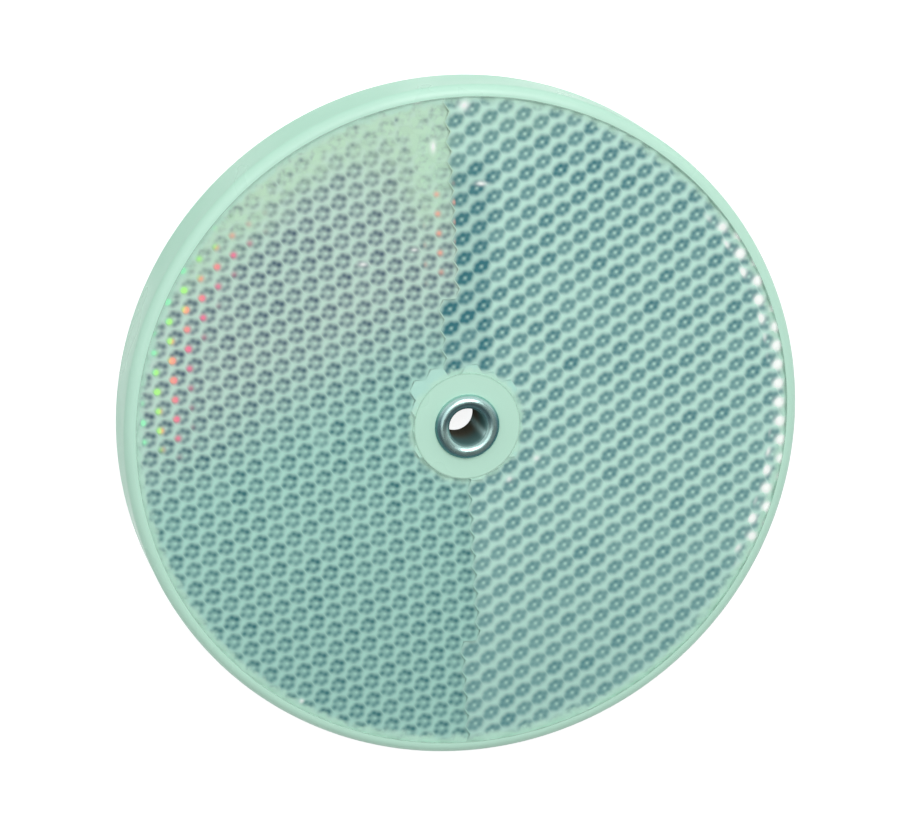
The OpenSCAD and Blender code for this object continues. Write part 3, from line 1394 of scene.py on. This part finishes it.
@dataclass
class Lens:
    """The clear moulding: front wall, skirt, boss round the hole, and prisms behind the front.

    The bake map holds a large disc of the prism side, a small one of the outside, and a strip
    for each band that joins them. Disc maps are the middle and half the width.
    """

    radius: float
    height: float
    grid: PrismGrid = field(default_factory=PrismGrid)
    front_wall: float = 2.2 * MM
    shown_wall: float = 0.08 * MM
    skirt: float = 1.6 * MM
    edge_round: float = 1.2 * MM
    boss_r: float = 6.5 * MM
    hole_r: float = 2.7 * MM
    hub_top: float = 2.4 * MM
    plate_t: float = 1.6 * MM
    seat: float = 1.0 * MM
    draft: float = math.tan(math.radians(1))
    sheet_inner: float = 6.1 * MM
    sheet_outer: float = 41.0 * MM
    sides: int = 192
    wall_chords: int = 6
    round_chords: int = 12
    sharp: float = 20
    disc_map: Span = (0.34, 0.33)
    skin_map: Span = (0.835, 0.16)
    strip_start: Place = (0.01, 0.70)
    strip_next: Place = (0.0, 0.06)
    strip_size: Place = (0.6, 0.05)

    @property
    def wall_back(self) -> float:
        """Height of the back of the front wall."""
        return self.height - self.front_wall

    @property
    def inner_r(self) -> float:
        """Radius of the skirt's inside at the front wall."""
        return self.radius - self.skirt

    @property
    def boss_top(self) -> float:
        """Radius of the boss at the front wall, widened by its draft."""
        return self.boss_r + self.draft * (self.wall_back - self.hub_top)

    def outside(self) -> np.ndarray:
        """Gives the outside's section: up the wall from its foot, and over the rounded edge.

        Returns:
            The points of the run.
        """
        r, top, k = self.radius, self.height, self.edge_round
        wall = line((r, 0), (r, top - k), self.wall_chords)
        return chain(wall, arc((r - k, top - k), k, 0, 90, self.round_chords))

    def skirt_inside(self) -> np.ndarray:
        """Gives the skirt's inner section: down the wall, over the plate's step, to the foot.

        Returns:
            The points of the run.
        """
        foot = self.inner_r + self.draft * (self.wall_back - self.plate_t)
        step = self.radius - self.seat
        return chain(
            line((self.inner_r, self.wall_back), (foot, self.plate_t), 3),
            line((step, self.plate_t), (step, 0), 2),
            line((step, 0), (self.radius, 0), 1),
        )

    def hole_and_boss(self) -> np.ndarray:
        """Gives the section down the hole, across the boss's end and up its outside.

        Returns:
            The points of the run.
        """
        return chain(
            line((self.hole_r, self.height), (self.hole_r, self.hub_top), 4),
            line((self.boss_r, self.hub_top), (self.boss_top, self.wall_back), 3),
        )

    def bake_disc(self, points: np.ndarray) -> np.ndarray:
        """Places of the prism side on the bake map: seen from the front, in a large disc."""
        middle, size = self.disc_map
        return middle + size * points[:, :2] / self.radius

    def bake_skin(self, points: np.ndarray) -> np.ndarray:
        """Lays the outside on the bake map: a small disc, with its wall round the front.

        The distance from the axis grows by the depth below the front, and is then scaled.

        Args:
            points: The points.

        Returns:
            Their places on the map.
        """
        middle, size = self.skin_map
        r = np.linalg.norm(points[:, :2], axis=1)
        out = r + (self.height - points[:, 2])
        return middle + size * points[:, :2] * (out / r / (self.radius + self.height))[:, None]

    def add_front(self, surface: Surface, inner: Ring, outer: Ring) -> None:
        """Adds the flat front between the hole and the rounded edge.

        Args:
            surface: The mesh being put together.
            inner: Ring of the hole.
            outer: Ring of the outside.
        """
        low, high = inner.at(self.hole_r), outer.at(self.radius - self.edge_round)
        start = np.concatenate([low, high])
        end = np.concatenate([np.roll(low, -1, axis=0), np.roll(high, -1, axis=0)])
        flat, faces = triangulate(start, end, self.hole_r)
        front = np.c_[flat, np.full(len(flat), self.height)]
        surface.add(front, faces, self.bake_skin(front), Slot.SKIN)

    def build(self, skin: bpy.types.Material, prisms: bpy.types.Material) -> bpy.types.Object:
        """Puts the lens together and dresses it.

        Args:
            skin: Finish of the clear outside.
            prisms: Finish of the prisms and of all that is behind the front wall.

        Returns:
            The finished piece.
        """
        surface = Surface()
        sheet = PrismSheet(
            self.grid, self.height - self.shown_wall, self.sheet_inner, self.sheet_outer, self.sides
        )
        edges = sheet.build(surface, self.bake_disc)
        inner, outer = (Ring.on_steps(Ring.nearest_steps(edge.directions)) for edge in edges)
        points, faces, _ = outer.revolve(self.outside())
        surface.add(points, faces, self.bake_skin(points), Slot.SKIN)
        self.add_front(surface, inner, outer)
        boss_foot = np.array([[self.sheet_inner, 0], [self.boss_top, self.wall_back]])
        skirt_top = np.array([[self.sheet_outer, 0], [self.inner_r, self.wall_back]])
        bands = (
            edges[0].revolve(boss_foot),
            inner.revolve(self.hole_and_boss()),
            edges[1].revolve(skirt_top),
            outer.revolve(self.skirt_inside()),
        )
        for k, (points, faces, share) in enumerate(bands):
            start = np.array(self.strip_start) + k * np.array(self.strip_next)
            strip = start + share * np.array(self.strip_size)
            outwards = faces[:, ::-1] if k == 0 else faces
            surface.add(points, outwards, strip, Slot.PRISMS)
        made = surface.build("clear_lens", self.sharp)
        made.data.materials.append(skin)
        made.data.materials.append(prisms)
        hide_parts("lens")
        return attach(made, "root")


@dataclass
class Eyelet:
    """The rolled metal tube in the centre hole."""

    top: float
    seat: float
    bore_r: float = 2.25 * MM
    sheet: float = 0.4 * MM
    roll_r: float = 0.875 * MM
    flare_r: float = 4.2 * MM
    recess: float = 0.8 * MM
    turns: int = 128
    flare_chords: int = 10
    bore_chords: int = 12
    roll_chords: tuple[int, int] = (36, 20)
    sharp: float = 40
    map_size: float = 0.98
    map_start: float = 0.01

    def profile(self) -> np.ndarray:
        """The section as one closed run, followed so that the faces point outwards.

        Bore upwards, over the roll by half circles outside and inside, down the barrel's outside
        and round the flare.

        Returns:
            The points of the run.
        """
        b, t, s = self.bore_r, self.sheet, self.seat
        centre = (b + self.roll_r, s)
        outer = b + t
        return chain(
            arc((outer, self.recess), t, 270, 180, self.flare_chords),
            line((b, self.recess), (b, s), self.bore_chords),
            arc(centre, self.roll_r, 180, 0, self.roll_chords[0]),
            arc(centre, self.roll_r - t, 0, 180, self.roll_chords[1]),
            line((outer, s), (outer, self.recess), 4),
            line((outer, self.recess), (self.flare_r, self.recess), 3),
            line((self.flare_r, self.recess), (self.flare_r, self.recess - t), 2),
            line((self.flare_r, self.recess - t), (outer, self.recess - t), 3),
        )

    def build(self, finish: bpy.types.Material) -> bpy.types.Object:
        """Turns the section round the axis and dresses the piece.

        Args:
            finish: Its finish.

        Returns:
            The finished piece.
        """
        points, faces, share = Ring.even(self.turns).revolve(self.profile())
        surface = Surface()
        surface.add(points, faces[:, ::-1], share * self.map_size + self.map_start)
        made = surface.build("rolled_eyelet", self.sharp)
        made.data.materials.append(finish)
        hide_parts("eyelet")
        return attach(made, "root")


@dataclass(frozen=True)
class View:
    """The camera: its direction from the disc, its distance, its lens and its aim."""

    tilt: float = math.radians(18.5)
    azimuth: float = math.radians(130)
    distance: float = 474 * MM
    aside: Place = (-2.09 * MM, 1.98 * MM)
    focal_pixels: float = 3888.0
    width_pixels: int = 900
    sensor: float = 36.0
    clip: float = 10 * MM

    def build(self, aim_z: float) -> None:
        """Makes the camera.

        It stands at the aim point plus distance along its direction, moved aside in its own
        picture plane, and looks back along the direction.

        Args:
            aim_z: Height of the front face, at whose middle it is aimed.
        """
        sin = math.sin(self.tilt)
        back = Vector(
            (sin * math.cos(self.azimuth), sin * math.sin(self.azimuth), math.cos(self.tilt))
        )
        right = Vector((0, 1, 0)).cross(back).normalized()
        up = back.cross(right)
        data = bpy.data.cameras.new("camera")
        data.sensor_width = self.sensor
        data.lens = self.focal_pixels * self.sensor / self.width_pixels
        data.clip_start = self.clip
        made = bpy.data.objects.new("camera", data)
        spot = Vector((0, 0, aim_z)) + back * self.distance
        spot += right * self.aside[0] + up * self.aside[1]
        turn = Matrix((right, up, back)).transposed().to_4x4()
        made.matrix_world = Matrix.Translation(spot) @ turn
        bpy.context.scene.collection.objects.link(made)
        bpy.context.scene.camera = made


@dataclass(frozen=True)
class Lamp:
    """A square soft lamp that looks at the object."""

    name: str
    place: Triple
    size: float
    power: float

    def build(self) -> None:
        """Makes the lamp and turns it to the disc's middle."""
        data = bpy.data.lights.new(self.name, "AREA")
        data.size = self.size
        data.energy = self.power
        made = bpy.data.objects.new(self.name, data)
        made.location = self.place
        made.rotation_euler = (-Vector(self.place)).to_track_quat("-Z", "Y").to_euler()
        bpy.context.scene.collection.objects.link(made)


@dataclass
class Studio:
    """Pale floor, soft lamps, sky and camera."""

    view: View = field(default_factory=View)
    lamps: Sequence[Lamp] = (
        Lamp("key", (0.08, 0.30, 0.52), 0.40, 1.6),
        Lamp("fill", (-0.22, 0.10, 0.60), 0.50, 0.76),
    )
    floor_size: float = 6.0
    floor_below: float = 0.02 * MM
    overhead: float = 0.36
    horizon: float = 0.74
    near: float = 0.55
    far: float = 1.30
    rise: Span = (0.15, 0.85)
    depth: Span = (-0.55, 0.45)
    sky_colour: Colour = (0.96, 1.0, 0.99)

    def build(self, aim_z: float) -> None:
        """Makes everything round the object.

        Args:
            aim_z: Height of the front face.
        """
        self.floor()
        self.sky()
        for lamp in self.lamps:
            lamp.build()
        self.view.build(aim_z)
        bpy.context.scene.view_settings.view_transform = "Standard"

    def floor(self) -> None:
        """Lays the floor just under the object."""
        half = self.floor_size / 2
        grid = np.array([[-half, -half], [half, -half], [half, half], [-half, half]])
        mesh = bpy.data.meshes.new("floor")
        points = np.c_[grid, np.full(len(grid), -self.floor_below)]
        mesh.from_pydata(points.tolist(), [], [(0, 1, 2, 3)])
        made = bpy.data.objects.new("floor", mesh)
        bpy.context.scene.collection.objects.link(made)
        mesh.materials.append(material("white_floor", FloorFinish().build))

    def sky(self) -> None:
        """Lights the scene from all round, most from the far side and least from overhead."""
        world = bpy.data.worlds.new("sky")
        world.use_nodes = True
        g = Graph(world.node_tree)
        split = g.node("ShaderNodeSeparateXYZ")
        g.feed(split.inputs[0], g.node("ShaderNodeTexCoord").outputs["Generated"])
        height = Signal(g, split.outputs[2])
        front = Signal(g, split.outputs[1])
        strength = g.remap(height, *self.rise, self.horizon, self.overhead)
        strength = strength * g.remap(front, *self.depth, self.near, self.far)
        ground = g.node("ShaderNodeBackground")
        g.feed(ground.inputs["Strength"], strength)
        g.feed(ground.inputs["Color"], self.sky_colour)
        out = g.node("ShaderNodeOutputWorld")
        g.tree.links.new(ground.outputs[0], out.inputs["Surface"])
        bpy.context.scene.world = world


def main() -> None:
    """Builds the pieces in order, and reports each."""
    logging.basicConfig(level=logging.INFO, format="%(message)s")
    _, lens_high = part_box("lens")
    _, eyelet_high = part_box("eyelet")
    Studio().build(lens_high.z)
    skin = material("clear_skin", SkinFinish().build)
    prisms = material("prism_back", PrismFinish().build)
    lens = Lens(lens_high.x, lens_high.z).build(skin, prisms)
    LOG.info("lens: %d faces", len(lens.data.polygons))
    eyelet = Eyelet(eyelet_high.z, lens_high.z).build(material("nickel", NickelFinish().build))
    LOG.info("eyelet: %d faces", len(eyelet.data.polygons))
    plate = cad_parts["back_plate"]
    plate.data.materials.clear()
    plate.data.materials.append(material("moulded_plate", PlateFinish().build))
    LOG.info("back plate: %d faces", len(plate.data.polygons))


if __name__ == "__main__":
    main()
